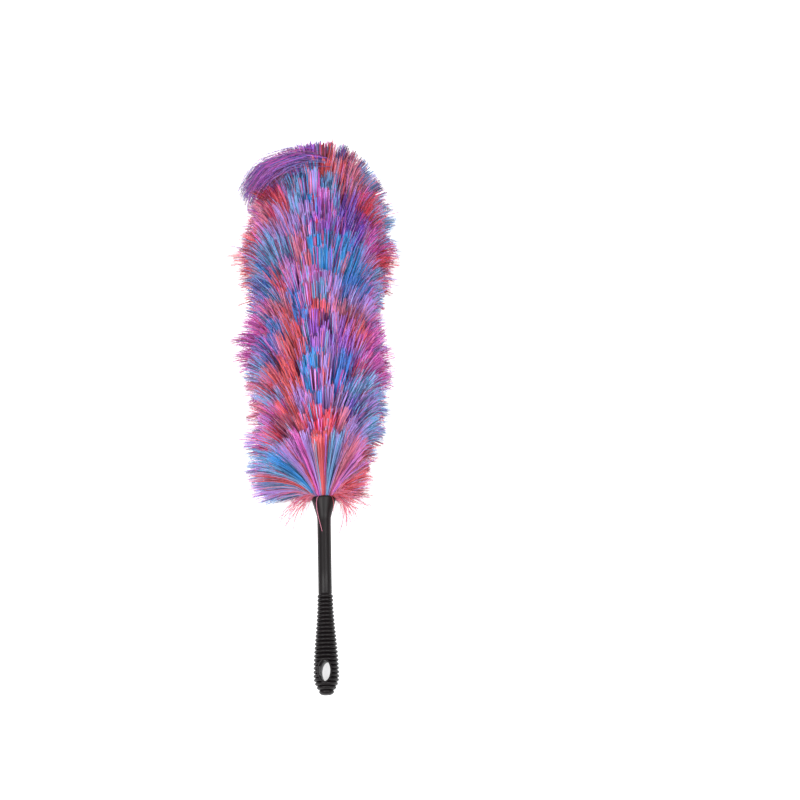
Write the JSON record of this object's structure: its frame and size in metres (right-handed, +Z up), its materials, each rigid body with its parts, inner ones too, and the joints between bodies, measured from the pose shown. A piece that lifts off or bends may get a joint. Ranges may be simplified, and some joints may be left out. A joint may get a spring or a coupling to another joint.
{
  "type": "static duster",
  "caption": "Hand duster with a fluffy tiered head of soft plastic fibres on a rod and a ribbed black handle with an oval hanging hole, lying on a surface.",
  "frame": {"origin": "centre of the bottom of the bounding box, on the surface that the duster lies on", "axes": "+Y along the length towards the tip of the head, +X across it, +Z up; the duster's own axis climbs by 7.6 degrees towards the tip"},
  "size_m": [0.1826, 0.6302, 0.1636],
  "materials": {
    "handle": "black polypropylene, satin",
    "rod": "natural polypropylene, satin",
    "cap": "black polypropylene, satin",
    "adhesive": "set hot-melt adhesive",
    "fibre": "split polypropylene fibre in violet, coral and blue, soft sheen",
    "wire": "bright binding wire"
  },
  "bodies": {
    "root": {"handle": "handle", "core_rod": "rod", "rod_tip_cap": "cap", "glue_fill": "adhesive", "fibre_section_1": "fibre", "fibre_section_2": "fibre", "fibre_section_3": "fibre", "fibre_section_4": "fibre", "binding_wire_01": "wire", "binding_wire_02": "wire", "binding_wire_03": "wire", "binding_wire_04": "wire", "binding_wire_05": "wire", "binding_wire_06": "wire", "binding_wire_07": "wire", "binding_wire_08": "wire", "binding_wire_09": "wire", "binding_wire_10": "wire", "binding_wire_11": "wire", "binding_wire_12": "wire"}
  },
  "joints": []
}
